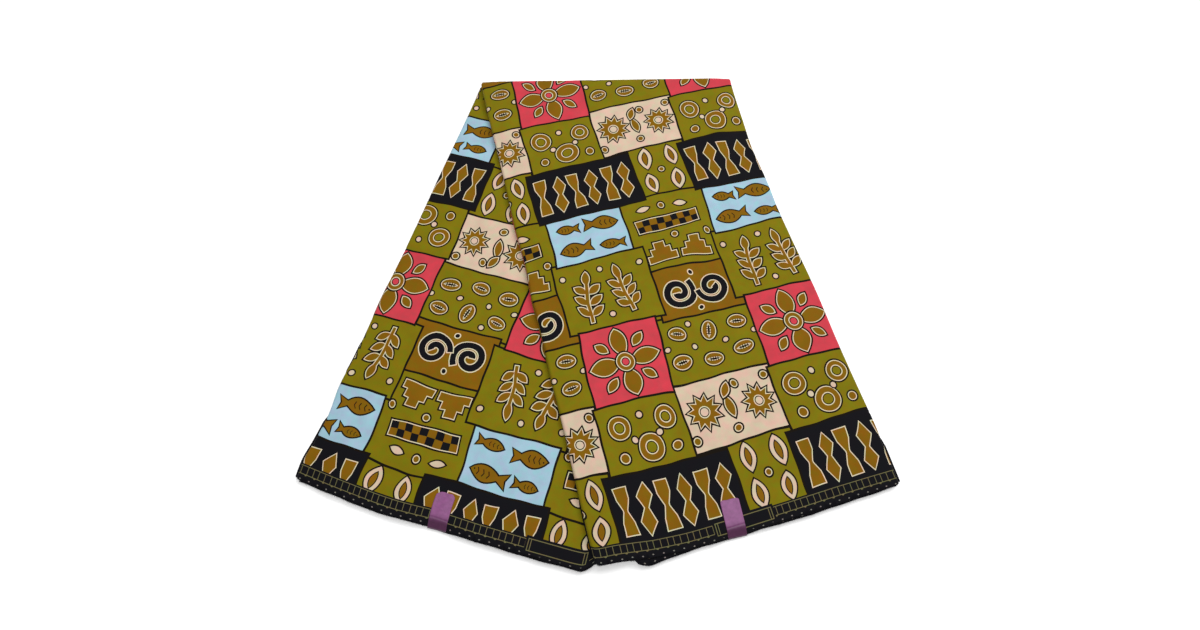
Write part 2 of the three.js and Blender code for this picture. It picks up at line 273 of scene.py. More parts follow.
labelCloth = {
    "width": 18.5,
    "length": 33,
    "thickness": 0.25,
    "pastHem": 1.2,  # folded over it
    "lift": 0.3,
    "roundness": 0.7,  # of its corners
    "crease": {"up": 8.6, "lean": 0.06, "depth": 0.35, "width": 0.8},  # pressed across it
    "ripple": 0.12,
    "fallOff": 1.6,  # how steeply it goes down past the hem
    "droop": 2.9,  # of the hem under it
    "droopUp": (-1.5, 8.5),  # where the droop eases out, up from the hem
    "droopOut": (9, 24),  # and to the sides
}


def labelAxes(lobe, across, fromHem):  # place in the label's own width and length
    c, s = heading(lobe["label"]["lean"])
    over = across - lobe["label"]["across"] * panelWidth
    return over * c - fromHem * s, over * s + fromHem * c


# Soft shape of a lobe's top: slopes to its folds, creases, and the hem drooping under its label
def relief(lobe, across, fromHem):
    up = fromHem / lobe["innerLength"]
    height = np.zeros(len(up))
    for fall, inwards in (("innerFall", across), ("outerFall", panelWidth - across)):
        height -= between(lobe[fall], up) * (1 - smooth(inwards, cloth["fallFrom"], lobe["fallWidth"]))
    for crease in lobe["creases"]:
        height += creaseHeight(crease, across, fromHem)
    over, away = labelAxes(lobe, across, fromHem)
    under = 1 - smooth(away, *labelCloth["droopUp"])
    return height - labelCloth["droop"] * under * (1 - smooth(np.abs(over), *labelCloth["droopOut"]))


# Book folds: a flat cloth coordinate to its place across, and how far it has gone down. Past the roll it goes
# straight on.
def rolledOver(across):
    radius, most = cloth["foldRoll"], math.radians(cloth["rollTurn"])
    past = [np.maximum(radius - across, 0), np.maximum(across - panelWidth + radius, 0)]
    turns = [np.minimum(p / radius, most) for p in past]
    straight = [np.maximum(p - radius * most, 0) for p in past]
    outs = [radius * np.sin(t) + s * math.cos(most) for t, s in zip(turns, straight)]
    down = sum(radius * (1 - np.cos(t)) + s * math.sin(most) for t, s in zip(turns, straight))
    return np.clip(across, radius, panelWidth - radius) - outs[0] + outs[1], down


# A cloth coordinate on a lobe's top, or that far below it, as a point: rolled down at the book folds and
# round the top fold
def surfacePoints(lobe, across, fromHem, below=0.0, second=False):
    place, drop = rolledOver(across)
    plan = planOf(lobe, place, fromHem, second)
    height = topOf(lobe, plan) + relief(lobe, place, fromHem) - drop - below
    radius = lobe["wrap"]["radius"]  # also how high the fold's axis is
    past = np.maximum(pastBack(plan) + lobe["wrap"]["short"] + radius, 0)
    turn = past / radius
    reach = height - radius
    plan = plan + np.outer(reach * np.sin(turn) - past, backTurn) * (past > 0)[:, None]
    askew = (lobe["innerUp"] @ backRun) / (lobe["innerUp"] @ backTurn)
    plan = plan - np.outer(past * askew * topFold["squared"], backRun)  # pulled square as it goes round
    height = np.where(past > 0, radius + reach * np.cos(turn), height)
    return np.column_stack([plan, height])


print("plan of the folds done")


def linear(hexColour):  # sRGB hex to linear
    parts = [int(hexColour[i:i + 2], 16) / 255 for i in (0, 2, 4)]
    return tuple(c / 12.92 if c <= 0.04045 else ((c + 0.055) / 1.055) ** 2.4 for c in parts) + (1.0,)


dyes = {
    "olive": "827705",
    "gold": "876003",
    "black": "0E0D13",
    "blue": "A6CCDC",
    "coral": "D54450",
    "cream": "DEC6AB",
    "line": "150D04",
    "pale": "E6DAB8",
    "rail": "757048",
    "dot": "85837A",
}
dyeNames = list(dyes)

# Outlines of the print's shapes, each a closed loop of points


def polar(radius, turns):
    return np.column_stack([radius * np.cos(turns), radius * np.sin(turns)])


def circle(x, y, radius):
    turns = np.linspace(0, 2 * math.pi, max(10, int(radius * 1.6) + 10), endpoint=False)
    return polar(radius, turns) + (x, y)


def placed(loop, x, y, turn=0.0, size=1.0):
    c, s = math.cos(math.radians(turn)) * size, math.sin(math.radians(turn)) * size
    return np.asarray(loop, float) @ np.array([[c, s], [-s, c]]) + (x, y)


def rectangle(x, y, width, height):
    return np.array([(x, y), (x + width, y), (x + width, y + height), (x, y + height)], float)


def leafLoop(length, width):
    along = np.linspace(0, 1, 11)
    side = np.column_stack([along * length, width / 2 * np.sin(math.pi * along) ** 0.8])
    return np.concatenate([side * (1, -1), side[-2:0:-1]])


def starLoop(outer, inner, rays):
    turns = np.arange(2 * rays) * math.pi / rays
    return polar(np.where(np.arange(2 * rays) % 2 == 0, outer, inner), turns)


def strokeLoop(path, width):  # a band of that width along a path, with square ends
    path = np.asarray(path, float)
    run = np.gradient(path, axis=0)
    run /= np.linalg.norm(run, axis=1)[:, None]
    side = np.column_stack([-run[:, 1], run[:, 0]]) * (np.asarray(width) / 2).reshape(-1, 1)
    return np.concatenate([path - side, (path + side)[::-1]])


def spiralLoop(start, end, turns, width):
    turn = np.linspace(0, turns * 2 * math.pi, int(26 * turns))
    return strokeLoop(polar(np.linspace(start, end, len(turn)), turn), width)


def stairLoop(width, height, steps):
    up = [(i * width / 2 / steps, i * height / steps) for i in range(steps)]
    side = [p for x, y in up for p in ((x, y), (x, y + height / steps))]
    return np.array(side + [(width - x, y) for x, y in reversed(side)], float)[::-1] - (width / 2, height / 2)


def drumLoop(width, height, waist):
    half, tall = width / 2, height / 2
    side = [(half, -tall), (half * 0.86, -tall * 0.5), (waist / 2, -1), (waist / 2, 1),
            (half * 0.9, tall * 0.52), (half, tall)]
    return np.array(side + [(-x, y) for x, y in reversed(side)], float)


def chainLoop(width, height):  # two lozenges, one on the other
    half, tall = width / 2, height / 2
    side = [(0, -tall), (half, -tall * 0.52), (1.6, 0), (half, tall * 0.48), (0, tall)]
    return np.array(side + [(-x, y) for x, y in side[-2:0:-1]], float)


def finely(loop, step):  # more points along its edges, none further apart than that
    after = np.roll(loop, -1, axis=0)
    counts = np.maximum(1, np.ceil(np.linalg.norm(after - loop, axis=1) / step).astype(int))
    parts = [a + (b - a) * np.arange(n)[:, None] / n for a, b, n in zip(loop, after, counts)]
    return np.concatenate(parts)


def grown(loop, by):  # moved outwards along its corners
    if not by:
        return loop
    before, after = np.roll(loop, 1, axis=0), np.roll(loop, -1, axis=0)
    runs = [loop - before, after - loop]
    runs = [r / np.maximum(np.linalg.norm(r, axis=1), 1e-6)[:, None] for r in runs]
    sides = [np.column_stack([r[:, 1], -r[:, 0]]) for r in runs]
    middle = sides[0] + sides[1]
    middle /= np.maximum(np.linalg.norm(middle, axis=1), 0.3)[:, None]
    reach = 1 / np.maximum((middle * sides[0]).sum(1), 0.62)
    area = (loop[:, 0] * after[:, 1] - after[:, 0] * loop[:, 1]).sum()
    return loop + middle * (by * reach * math.copysign(1, area))[:, None]


# Inks: each outline is printed once for every row, growing by that much in that dye
inks = {
    "goldOnOlive": [(2.55, "line"), (0.9, "pale"), (0, "gold")],
    "goldOnBlack": [(0.95, "pale"), (0, "gold")],
    "goldOnBlue": [(1.5, "line"), (0, "gold")],
    "blackOnGold": [(1.1, "pale"), (0, "black")],
    "creamOnOlive": [(1.5, "line"), (0, "cream")],
    "goldInside": [(1, "line"), (0, "gold")],
    "slit": [(0.9, "pale"), (0, "line")],
    "creamHole": [(2, "pale"), (1, "line"), (0, "cream")],
    "coralHole": [(2, "pale"), (1, "line"), (0, "coral")],
}


def printed(ink, *loops):
    return [(grown(loop, by), dye) for by, dye in inks[ink] for loop in loops]


def dots(ink, radius, *places):
    return [row for x, y in places for row in printed(ink, circle(x, y, radius))]


def ring(x, y, radius, hole):
    return printed("goldOnOlive", circle(x, y, radius)) + [
        (circle(x, y, hole + 2), "pale"), (circle(x, y, hole + 1), "line"), (circle(x, y, hole), "olive")]


def drums():
    rows = []
    for i, x in enumerate((13, 33.5, 53, 73, 93.5, 112)):
        loop = drumLoop(12.5, 44, 3.4) if i % 2 == 0 else chainLoop(14, 46)
        rows += printed("goldOnBlack", placed(loop, x, 32, (2, -3, 4, -2, 1, -4)[i]))
    return rows


def shields():
    rows = []
    for x, y, turn in ((21, 20, 94), (52, 19, 85), (22, 54, 88), (53, 53, 96)):
        rows += printed("creamOnOlive", placed(leafLoop(28, 15) - (14, 0), x, y, turn))
        rows += printed("goldInside", placed(leafLoop(16, 5.5) - (8, 0), x, y, turn))
    return rows + dots("goldOnOlive", 2.6, (37, 36))


def suns():
    rows = []
    for x, y, size in ((27, 35, 1), (84, 33, 0.94)):
        rows += printed("goldOnOlive", placed(starLoop(17, 10.5, 11), x, y, 8, size))
        rows += printed("creamHole", circle(x, y, 4 * size))
    rows += printed("goldOnOlive", placed(leafLoop(19, 8), 55, 25, 98))
    rows += printed("goldOnOlive", placed(leafLoop(15, 7), 50, 44, 62))
    return rows + dots("goldOnOlive", 3, (55, 13), (65, 55), (98, 57), (10, 10))


def cowries():
    rows = []
    for x, y, turn in ((19, 21, 12), (53, 18, -8), (87, 22, 5), (22, 51, -14), (57, 49, 78), (89, 52, -6)):
        rows += printed("goldOnOlive", placed(circle(0, 0, 9.5) * (1, 0.68), x, y, turn))
        rows += printed("slit", placed(leafLoop(13, 2.2) - (6.5, 0), x, y, turn))
        rows += [(placed(rectangle(at, -2.4, 0.9, 4.8), x, y, turn), "line") for at in (-4.2, -1.6, 1, 3.6)]
    return rows + dots("creamOnOlive", 2.6, (37, 35), (71, 35), (37, 60), (104, 37), (7, 36))


def spirals():
    rows = []
    for x, turn, mirror in ((27, 200, 1), (67, 20, -1)):
        loop = spiralLoop(3, 18, 1.55, 6.5) * (1, mirror)
        rows += printed("blackOnGold", placed(loop, x, 30, turn))
    return rows + dots("blackOnGold", 2.4, (48, 50), (47, 9))


def stairs():
    rows = printed("goldOnOlive", placed(stairLoop(34, 24, 3), 33, 23, 2))
    rows += printed("goldOnOlive", placed(stairLoop(32, 22, 3), 73, 22, -3))
    rows += printed("goldOnOlive", placed(rectangle(0, 0, 72, 15), 15, 49, 1.5))
    for i in range(9):
        check = rectangle(i * 8, 7.5 * (i % 2), 8, 7.5)
        rows.append((placed(check, 15, 49, 1.5), "black"))
    ends = placed(leafLoop(15, 6.5), 20, 78, 5), placed(leafLoop(15, 6.5), 64, 78, -6)
    return rows + printed("creamOnOlive", *ends) + dots("goldOnOlive", 2.8, (49, 79), (54, 40), (92, 37))


def rings():
    rows = ring(21, 45, 11, 4.5) + ring(48, 22, 12.5, 5) + ring(69, 47, 10, 4)
    rows += dots("goldOnOlive", 4, (19, 16), (74, 18))
    return rows + dots("creamOnOlive", 2.8, (44, 53), (33, 31), (60, 34))


def around(loop, x, y, reach, turns):  # copies of a shape that point out from one place
    return [placed(loop, *((x, y) + reach * heading(turn)), turn) for turn in turns]


def flower():
    petals = around(leafLoop(30, 17), 42, 42, 7, (4, 94, 184, 274))
    buds = around(leafLoop(15, 8), 42, 42, 21, (49, 139, 229, 319))
    rows = printed("goldOnOlive", *petals, *buds) + printed("goldOnOlive", circle(42, 42, 9))
    return rows + printed("coralHole", circle(42, 42, 3.4))


def sprig(x, y, turn, length):
    stem = placed(strokeLoop([(0, 0), (length * 0.5, 1.5), (length, 0)], 3.4), x, y, turn)
    loops = [stem, placed(placed(leafLoop(17, 8), length - 2, 0), x, y, turn)]
    for share in (0.18, 0.46, 0.74):
        for side in (-1, 1):
            leaf = placed(leafLoop(15.5, 7.5), share * length, side * 1.2, side * 52)
            loops.append(placed(leaf, x, y, turn))
    return printed("goldOnOlive", *loops)


def leaves():
    rows = sprig(27, 10, 84, 44) + sprig(73, 12, 96, 42)
    return rows + dots("creamOnOlive", 2.8, (50, 14), (50, 68), (95, 66), (8, 66))


def fish():
    rows = []
    tail = np.array([(30, -1.6), (42, -7.5), (39, 0), (42, 7.5), (30, 1.6)], float)
    for x, y, turn, size in ((9, 16, 5, 0.9), (82, 42, 176, 0.92), (56, 16, -7, 0.66), (12, 44, -4, 0.62)):
        body = [placed(loop, x, y, turn, size) for loop in (leafLoop(34, 16), tail)]
        rows += printed("goldOnBlue", *body)
        marks = [strokeLoop([(at, -3.6), (at + 1.9, 0), (at, 3.6)], 1.1) for at in (8.5, 15, 21)]
        rows += [(placed(loop, x, y, turn, size), "line") for loop in marks + [circle(4.6, 0.9, 0.9)]]
    return rows


repeat = {"along": 187, "across": 354, "borderLine": 1.1, "askew": 1.6, "wander": 0.6}
# One repeat of the patchwork, later blocks over earlier ones
blocks = named(("dye", "x", "y", "width", "height", "motifs"), [
    ("olive", 112, -4, 72, 72, shields),
    ("cream", 80, 66, 108, 68, suns),
    ("olive", 82, 134, 109, 70, cowries),
    ("olive", 84, 260, 102, 94, stairs),
    ("gold", 92, 201, 98, 61, spirals),
    ("olive", -3, 60, 88, 70, rings),
    ("olive", -6, 211, 103, 82, leaves),
    ("coral", 1, 128, 84, 84, flower),
    ("blue", -3, 292, 91, 60, fish),
    ("black", -9, -3, 126, 65, drums),
])
clothReach = {"low": (-10, 0), "high": (312, 625)}  # shapes of the print beyond these are left out


def handDrawn(loop):  # lines drawn by hand wander a little, and neighbours wander together
    x, y = loop[:, 0], loop[:, 1]
    wander = repeat["wander"]
    moveX = wander * (np.sin(x / 11 + y / 17 + 1.3) + 0.5 * np.sin(y / 5.3 + x / 8.1))
    moveY = wander * (np.sin(y / 12 - x / 15 + 0.4) + 0.5 * np.sin(x / 4.9 - y / 9.3))
    return loop + np.column_stack([moveX, moveY])


# The patchwork over a stretch of cloth. A turned stretch has the other selvedge at its hem.
def patchwork(origin, turned, motifs=True):
    mirror, line = (1, -1 if turned else 1), repeat["borderLine"]
    rows = []
    for k, block in enumerate(blocks):
        ground = rectangle(0, 0, block["width"], block["height"])
        ground += repeat["askew"] * np.sin(np.arange(8).reshape(4, 2) * 2.3 + k * 1.7)
        inBlock = [(grown(ground, line), "line"), (grown(ground, -line), block["dye"])]
        inBlock += block["motifs"]() if motifs else []
        for column in range(-3, 4):
            for row in range(-3, 4):
                corner = (block["x"] + column * repeat["along"], block["y"] + row * repeat["across"])
                for loop, dye in inBlock:
                    flat = handDrawn(finely(loop + corner, 3.5)) * mirror + origin
                    if (flat.max(0) > clothReach["low"]).all() and (flat.min(0) < clothReach["high"]).all():
                        rows.append((flat, dye))
    return rows


selvedge = {
    "edge": 6.6,  # black edge outside the rails
    "row": 7.8,  # of cells between them
    "rail": 0.65,
    "upright": 0.6,
    "cell": 6.4,
    "bump": 9.8,  # from one bump to the next
    "depth": 16.4,
    "past": 6,  # the folds at both sides
    "below": 4,  # the hem
    "boxLow": 4.4,
    "boxHigh": 16,
    "boxLength": 57,
    "boxMargin": 2.2,
    "boxRail": 0.8,
    "boxInset": 2.6,  # of the line at each of its ends
    "boxLine": 0.7,
}


# The border along a selvedge: a row of cells between two rails, bumps under it, and dots on the black edge
def border(boxFrom):
    s = selvedge
    low, high, reach = s["edge"], s["edge"] + s["row"], panelWidth + 2 * s["past"]
    rows = [(rectangle(-s["past"], -s["below"], reach, s["depth"] + s["below"]), "black")]
    rows += [(rectangle(-s["past"], at, reach, s["rail"]), "rail") for at in (low, high)]
    for i in range(-1, int(reach / s["cell"])):
        at = i * s["cell"] + 0.35 * math.sin(i * 1.9)
        rows.append((rectangle(at, low, s["upright"], s["row"]), "rail"))
    for i in range(-1, int(reach / s["bump"])):
        at = i * s["bump"]
        rows.append((placed(leafLoop(2.6, 1.7), at, low - 0.1), "rail"))
        rows.append((placed(leafLoop(1.8, 1.2), at + s["bump"] / 2, 2.2 + 0.3 * math.sin(i * 2.7)), "dot"))
    tall = s["boxHigh"] - s["boxLow"]
    box = rectangle(boxFrom, s["boxLow"], s["boxLength"], tall)
    rows += [(grown(box, s["boxMargin"]), "black"), (box, "rail"), (grown(box, -s["boxRail"]), "black")]
    for inset in (s["boxInset"], s["boxLength"] - s["boxInset"] - s["boxLine"]):
        rows.append((rectangle(boxFrom + inset, s["boxLow"], s["boxLine"], tall), "rail"))
    return [(finely(loop, 3), dye) for loop, dye in rows]


def insideLoop(points, loop):  # by winding number
    after = np.roll(loop, -1, axis=0)
    winding = np.zeros(len(points), int)
    x, y = points[:, 0], points[:, 1]
    for (ax, ay), (bx, by) in zip(loop, after):
        left = (bx - ax) * (y - ay) - (x - ax) * (by - ay)
        winding += (ay <= y) & (by > y) & (left > 0)
        winding -= (ay > y) & (by <= y) & (left < 0)
    return winding != 0


def addObject(name, data):
    added = bpy.data.objects.new(name, data)
    bpy.context.collection.objects.link(added)
    return added


def meshObject(name, vertices, faces, edges=()):  # from millimetres
    mesh = bpy.data.meshes.new(name)
    points = [tuple(v) for v in np.asarray(vertices, float) * mm]
    mesh.from_pydata(points, list(edges), [tuple(map(int, face)) for face in faces])
    mesh.update()
    mesh.polygons.foreach_set("use_smooth", [True] * len(mesh.polygons))
    return addObject(name, mesh)


def giveThickness(piece, thickness, side):
    shell = piece.modifiers.new("thickness", "SOLIDIFY")
    shell.thickness = thickness * mm
    shell.offset = side


def dyeFaces(piece, faceDyes):  # one dye for each face
    table = np.array([linear(dyes[n]) for n in dyeNames])
    counts = np.array([p.loop_total for p in piece.data.polygons])
    colours = np.repeat(table[np.asarray(faceDyes)], counts, axis=0)
    layer = piece.data.color_attributes.new(name="print", type="FLOAT_COLOR", domain="CORNER")
    layer.data.foreach_set("color", colours.ravel())


def clothCoordinates(piece, flat):  # weave follows the flat cloth, in metres
    corners = np.empty(len(piece.data.loops), int)
    piece.data.loops.foreach_get("vertex_index", corners)
    layer = piece.data.uv_layers.new(name="cloth")
    layer.data.foreach_set("uv", (flat[corners] * mm).ravel())


cutTolerance = 0.03  # points of the print nearer than that are one


# A printed cloth: its outline and the print's are cut into one flat mesh, which is then laid in place
def printedCloth(name, outline, shapes, spots, lay, turnedOver):
    points, edges = [], []
    for loop in [outline] + [shape for shape, dye in shapes]:
        edges += [(len(points) + i, len(points) + (i + 1) % len(loop)) for i in range(len(loop))]
        points += [Vector(p) for p in loop]
    points += [Vector(p) for p in spots[insideLoop(spots, outline)]]
    flat, _, triangles, *_ = delaunay_2d_cdt(points, edges, [], 0, cutTolerance, False)
    flat, triangles = np.array(flat), np.array(triangles)
    middles = flat[triangles].mean(1)
    keep = insideLoop(middles, outline)
    triangles, middles = triangles[keep], middles[keep]
    faceDyes = np.full(len(triangles), dyeNames.index("olive"))
    for loop, dye in shapes:
        low, high = loop.min(0), loop.max(0)
        near = np.flatnonzero(((middles > low) & (middles < high)).all(1))
        faceDyes[near[insideLoop(middles[near], loop)]] = dyeNames.index(dye)
    used, back = np.unique(triangles, return_inverse=True)
    triangles, flat = back.reshape(-1, 3), flat[used]
    if turnedOver:
        triangles = triangles[:, ::-1]
    piece = meshObject(name, lay(flat[:, 0], flat[:, 1]), triangles)
    dyeFaces(piece, faceDyes)
    clothCoordinates(piece, flat)
    giveThickness(piece, cloth["thickness"], -1)
    print(f"{name}: {len(triangles)} triangles on its face")
    return piece


rollLength = cloth["foldRoll"] * math.radians(cloth["rollTurn"])
rollEdge = cloth["foldRoll"] - rollLength  # cloth coordinate where the roll ends, below the fold
edgeStep = 2.5  # from point to point along a cut
outlineStep = 3


def hemWave(across):  # an edge is never quite straight
    return 0.3 * np.sin(across / 13) + 0.2 * np.sin(across / 5.1 + 1)


def spread(low, high, step):
    return np.linspace(low, high, max(2, int(round(abs(high - low) / step)) + 1))


def hemLine(lobe, across):  # the hem of a top panel, with its outer corner rounded
    corner = lobe["cornerCut"] * smooth(across, panelWidth - 5, panelWidth + 1)
    return np.column_stack([across, hemWave(across + lobe["hemPhase"]) + corner])


def outlineOf(*runs):
    return finely(np.concatenate(runs), outlineStep)


def rowAt(lobe, across, past):  # points in a row across the cloth, that far past the back line
    return np.column_stack([across, fromHemAt(lobe, across, past)])


# Loose points for the flat mesh: an even net, and a close one across the rolls and round the top fold
net = {
    "even": 7,
    "evenIn": 8,  # of the folds
    "rolls": 0.65,
    "rollsIn": 3.6,
    "upRolls": 3,
    "round": 1.5,
    "roundFrom": -10,
    "from": -620,  # in front of the back line
    "to": -12,
    "offHem": 2,
}


def netOf(lobe, topPast):
    ends = rollEdge - cloth["ear"]
    even = spread(net["evenIn"], panelWidth - net["evenIn"], net["even"])
    rolls = np.concatenate([spread(ends, net["rollsIn"], net["rolls"]),
                            spread(panelWidth - net["rollsIn"], panelWidth - ends, net["rolls"])])
    top = spread(net["roundFrom"], topPast - 0.8, net["round"])
    along = [spread(net["from"], net["to"], net[step]) for step in ("upRolls", "even")]
    sets = []
    for columns, pasts in ((rolls, along[0]), (even, along[1]), (rolls, top), (even, top)):
        sets += [rowAt(lobe, columns, past) for past in pasts]
    points = np.concatenate(sets)
    return points[points[:, 1] > net["offHem"]]


def panelOutline(lobe, topPast):
    inner, outer, ear = rollEdge, panelWidth - rollEdge, cloth["ear"]
    turnStart = -lobe["wrap"]["radius"] - lobe["wrap"]["short"]
    earStart = np.array([turnStart - 1.5, turnStart])
    return outlineOf(
        hemLine(lobe, spread(inner, outer, edgeStep)),
        rowAt(lobe, np.array([outer, outer + ear]), earStart),
        rowAt(lobe, spread(outer + ear, inner - ear, edgeStep), topPast),
        rowAt(lobe, np.array([inner - ear, inner]), earStart[::-1]),
    )


# Where a repeat of the print starts, and the bare box on the border
rightPrint = {"origin": (36, 14), "boxFrom": 118}
leftPrint = {"origin": (66, 395), "boxFrom": 12}
secondBelow = 1.3  # of the second layers below the tops


def wrapPast(wrap):  # how far past the back line the cloth would reach if it lay flat
    return wrap["radius"] * (math.radians(wrap["wrapTurn"]) - 1) - wrap["short"]


topPast = wrapPast(rightLobe["wrap"])
rightOutline = panelOutline(rightLobe, topPast)
rightShapes = patchwork(rightPrint["origin"], False) + border(rightPrint["boxFrom"])
rightPanel = printedCloth("rightPanel", rightOutline, rightShapes, netOf(rightLobe, topPast),
                          partial(surfacePoints, rightLobe), False)
print("right panel done")

# The left panel goes a little way under the right lobe, and shows its own inner fold only beside the notch
tuck = {"width": 14, "innerFold": 90, "slant": 18, "short": 16}
leftTopPast = wrapPast(leftLobe["wrap"])
tuckLine = rightLobe["foot"] + heading(rightLobe["innerTurn"]) * tuck["width"]
tuckFoot = onCloth(leftLobe, tuckLine + rightLobe["innerUp"] * tuck["innerFold"])
tuckHead = onCloth(leftLobe, tuckLine + rightLobe["innerUp"] * (rightLobe["innerLength"] - tuck["short"]))
leftOutline = outlineOf(
    hemLine(leftLobe, spread(rollEdge, panelWidth - rollEdge, edgeStep)),
    rowAt(leftLobe, spread(panelWidth - rollEdge, tuckHead[0], edgeStep), leftTopPast),
    [tuckHead, tuckFoot, (rollEdge, tuckFoot[1] - tuck["slant"])],
)
leftShapes = patchwork(leftPrint["origin"], True) + border(leftPrint["boxFrom"])
leftPanel = printedCloth("leftPanel", leftOutline, leftShapes, netOf(leftLobe, leftTopPast),
                         partial(surfacePoints, leftLobe), True)
print("left panel done")


# A second layer: the cloth below the top one, with its selvedge past the hem above it
secondCut = {"inner": 1.6, "outer": 4, "flare": 4.5, "inset": 5.5, "short": 20, "boxFrom": -80}


def secondLayer(name, lobe, origin, turned):
    hem = spread(secondCut["inner"], panelWidth - secondCut["outer"], edgeStep)
    top = spread(panelWidth - secondCut["inset"], secondCut["inset"], edgeStep)
    outline = outlineOf(
        np.column_stack([hem, hemWave(hem)]),
        [(top[0], secondCut["flare"])],
        rowAt(lobe, top, -secondCut["short"]),
        [(top[-1], secondCut["flare"])],
    )
    shapes = patchwork(origin, turned, motifs=False) + border(secondCut["boxFrom"])
    lay = partial(surfacePoints, lobe, below=secondBelow, second=True)
    spots = netOf(lobe, -secondCut["short"])[::2]
    return printedCloth(name, outline, shapes, spots, lay, turned)


rightSecond = secondLayer("rightSecondLayer", rightLobe, (80, 160), False)
leftSecond = secondLayer("leftSecondLayer", leftLobe, (20, 300), True)
print("second layers done")


# Hidden layers: one rounded solid for each lobe, with the edges of grouped layers round its sides
layers = {
    "count": 4,
    "out": (-0.9, -0.2, 0.1, -0.1),  # of each layer's fold past the panel's, from the top one down
    "sway": (0.2, 0.5, 1, 1),  # how much of these waves each has
    "waves": ((0.4, 61), (0.27, 23), (0.11, 9)),  # size and run
    "topIn": 2.6,  # drawn in under the top fold
    "topEnds": (26, 10),  # short of it
    "cornerIn": 3.2,  # and at the hem's rounded corner
    "cornerEnds": (3, 18),
    "groove": 0.9,
    "rounding": (3.2, 0.4),  # of the top's edge and the underside's
    "strayEnds": (9, 3),  # outside and inside the stretch where one sticks out
    "profile": (0.04, 0.3, 0.62, 0.96),  # shares of a layer's height that have a ring of points
    "pitch": 4,
    "hemIn": 2.4,  # short of the second layer's hem
    "lift": 0.55,  # above the cloth of the underside
    "thinnest": 0.8,
    "blackUp": 84,  # their edges are black that far up from the hem
    "oliveDown": 45,  # and olive that far down from the top
    "runs": (40, 120),  # length of each colour along a fold
    "dyes": ("olive", "black", "gold", "olive", "black", "olive", "coral", "olive", "cream", "black"),
    "seed": 7,
}


def insideRound(height):  # how far short of the back a layer at that height stops, to lie inside the top fold
    reach = topFold["radius"] - cloth["thickness"] - 0.6
    return topFold["radius"] - np.sqrt(np.maximum(reach**2 - (height - topFold["radius"]) ** 2, 0.01))


def underOf(lobe, point):  # height of a lobe's underside
    if lobe is leftLobe:
        return np.zeros(len(point))
    return (leftTop + cloth["gap"]) * (1 - smooth(pastLeftFold(point), 1, 30))


# Points that share of the way down a stack, with that much less round the sides
def stackPoints(lobe, u, v, share, inset):
    across = np.clip(u * panelWidth, inset, panelWidth - inset)
    across = across + np.minimum(inset, 0) * ((u == 0) * 1.0 - (u == 1))  # some folds stick out
    back = fromHemAt(lobe, across, 0)
    height = np.full(len(u), leftTop / 2)
    for _ in range(2):  # the round of the top fold depends on the height, and the height on the place
        fromHem = np.clip((1 - v) * back, layers["hemIn"] + np.clip(inset, 0, 2), back - insideRound(height))
        plan = planOf(lobe, across, fromHem, True)
        under = underOf(lobe, plan) + layers["lift"]
        top = topOf(lobe, plan) + relief(lobe, np.clip(across, 0, panelWidth), fromHem) - cloth["layersDown"]
        height = under + np.maximum(top - under, layers["thinnest"]) * (1 - share)
    return np.column_stack([plan, height])


def straying(stray, up, onFold):  # 1 along the stretch where a fold sticks out, 0 elsewhere
    outside, inside = layers["strayEnds"]
    begins = smooth(up, stray["from"] - outside, stray["from"] + inside)
    return onFold * begins * (1 - smooth(up, stray["to"] - inside, stray["to"] + outside))


def rimOf(rows, columns):  # the rim of a grid, once round
    down, over = range(rows - 1), range(columns - 1)
    rim = [(r, 0) for r in down] + [(rows - 1, c) for c in over]
    return rim + [(rows - 1 - r, columns - 1) for r in down] + [(0, columns - 1 - c) for c in over]


# A ring of points for each step down a stack's side, as (share, inset), and the dyes along it
def foldRings(lobe, u, up):
    random = np.random.default_rng(layers["seed"] + lobe["side"])
    place = np.arange(len(u)) * layers["pitch"]
    length = lobe["innerLength"]
    topIn = layers["topIn"] * smooth(up, *(length - end for end in layers["topEnds"]))
    cornerIn = layers["cornerIn"] * (u == 1) * (1 - smooth(up, *layers["cornerEnds"]))
    rings, ringDyes = [], []
    for layer in range(layers["count"]):
        phases = random.uniform(0, 6.28, 3)
        waves = sum(size * np.sin(place / run + phase) for (size, run), phase in zip(layers["waves"], phases))
        out = layers["out"][layer] + layers["sway"][layer] * waves - topIn - cornerIn
        runEnds = np.cumsum(random.uniform(*layers["runs"], 60))
        runDyes = random.choice([dyeNames.index(dye) for dye in layers["dyes"]], 61)
        dyeHere = runDyes[np.searchsorted(runEnds, place)]
        dyeHere = np.where(up < layers["blackUp"], dyeNames.index("black"), dyeHere)
        dyeHere = np.where(up > length - layers["oliveDown"], dyeNames.index("olive"), dyeHere)
        for stray in lobe["strays"]:
            if stray["layer"] == layer:
                amount = straying(stray, up, u == (1 if stray["fold"] == "outer" else 0))
                out = out + (stray["out"] - out) * amount
                dyeHere = np.where(amount > 0.2, dyeNames.index(stray["dye"]), dyeHere)
        for part in layers["profile"]:
            inset = layers["groove"] * (1 - math.sin(math.pi * part) ** 0.5) - out
            rings.append(((layer + part) / layers["count"], inset))
            ringDyes.append(dyeHere)
    above, under = layers["rounding"]
    rings = [(0, rings[0][1] + above)] + rings + [(1, rings[-1][1] + under)]
    return rings, [ringDyes[0]] + ringDyes


